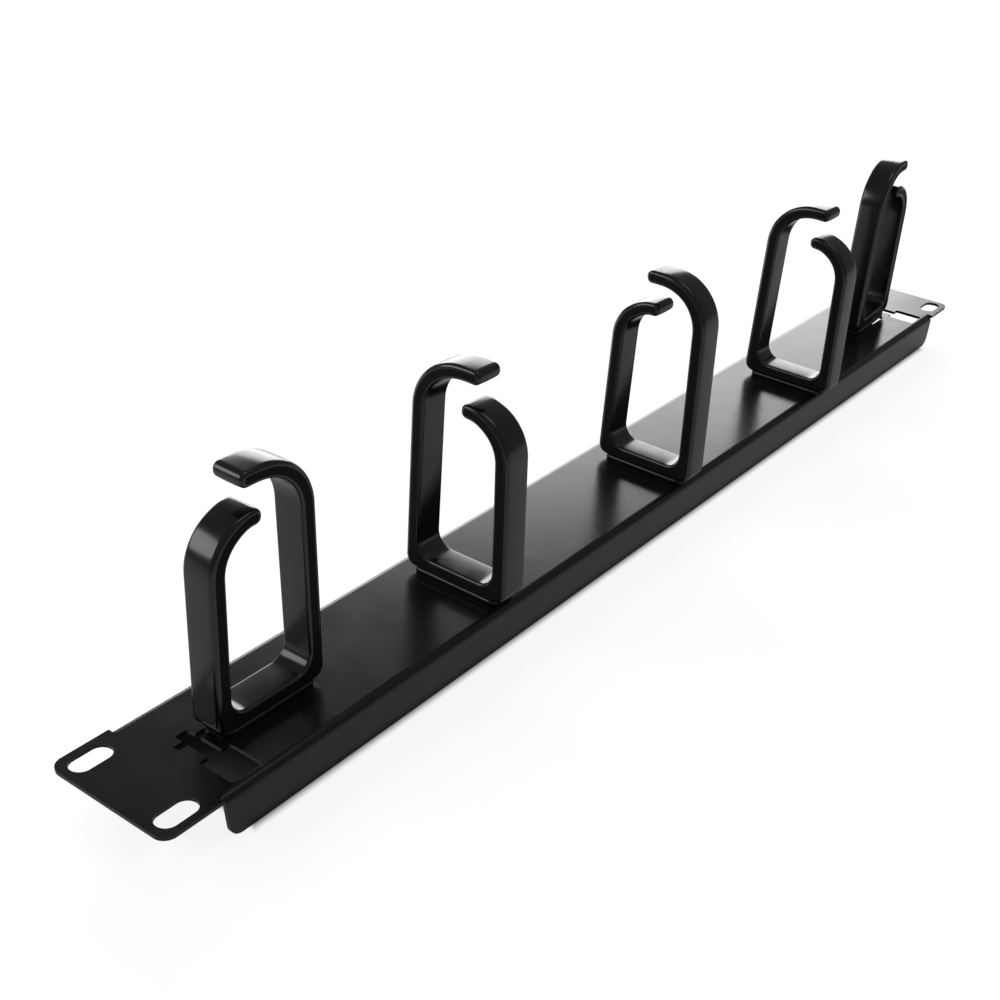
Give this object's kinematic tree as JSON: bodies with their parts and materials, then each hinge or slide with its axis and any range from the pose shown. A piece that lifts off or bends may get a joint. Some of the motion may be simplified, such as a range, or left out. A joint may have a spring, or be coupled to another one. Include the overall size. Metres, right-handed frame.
{
  "type": "rack cable management panel",
  "caption": "One-unit folded steel rack panel with open hook-shaped plastic cable rings along its face, for routing patch cables.",
  "frame": {"origin": "middle of the four rack slots, on the plane where the ears seat on the rack rails", "axes": "+X along the panel, +Y across it towards the edge that the rings' feet slide to, +Z out of the panel's face, the way the rings stand"},
  "size_m": [0.4826, 0.0481, 0.0882],
  "materials": {
    "panel_coat": "semi-gloss black powder coat",
    "ring_plastic": "glossy black moulded plastic"
  },
  "bodies": {
    "root": {"rack_panel": "panel_coat", "cable_ring_1": "ring_plastic", "cable_ring_2": "ring_plastic", "cable_ring_3": "ring_plastic", "cable_ring_4": "ring_plastic", "cable_ring_5": "ring_plastic"}
  },
  "joints": []
}
